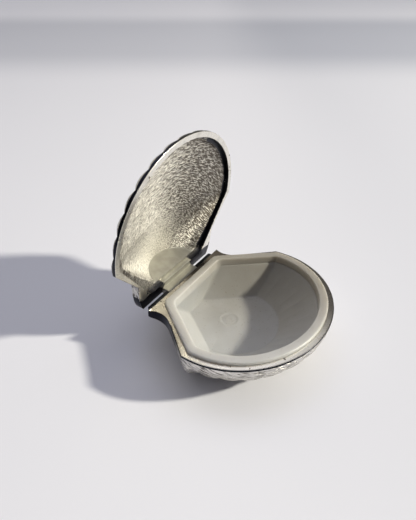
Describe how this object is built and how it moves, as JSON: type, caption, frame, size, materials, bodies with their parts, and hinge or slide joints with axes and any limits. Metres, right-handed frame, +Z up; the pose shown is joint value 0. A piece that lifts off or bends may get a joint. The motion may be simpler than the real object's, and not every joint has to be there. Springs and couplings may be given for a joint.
{
  "type": "shell box",
  "caption": "Scallop-shaped hinged trinket box in polished silvery metal with a moulded pale plastic liner, shown with its ribbed lid open.",
  "frame": {"origin": "middle of the flat underside that the box stands on", "axes": "+Z up, X along the hinge, the front of the box faces -Y and the hinge is at the +Y side"},
  "size_m": [0.07, 0.071, 0.0721],
  "materials": {
    "polished_metal": "polished silver plate, ribbed and finely grooved outside",
    "lid_metal": "polished silver plate outside, fine short brush marks inside",
    "pin_metal": "plain drawn wire",
    "liner_plastic": "milky moulded plastic, satin"
  },
  "bodies": {
    "base": {"base_shell": "polished_metal", "liner": "liner_plastic", "hinge_pin": "pin_metal"},
    "lid": {"lid_shell": "lid_metal"}
  },
  "joints": [
    {"name": "lid_hinge", "type": "hinge", "parent": "base", "child": "lid", "pos_m": [0, 0.0215, 0.0142], "axis": [1, 0, 0], "range_deg": [0, 83.5]}
  ]
}
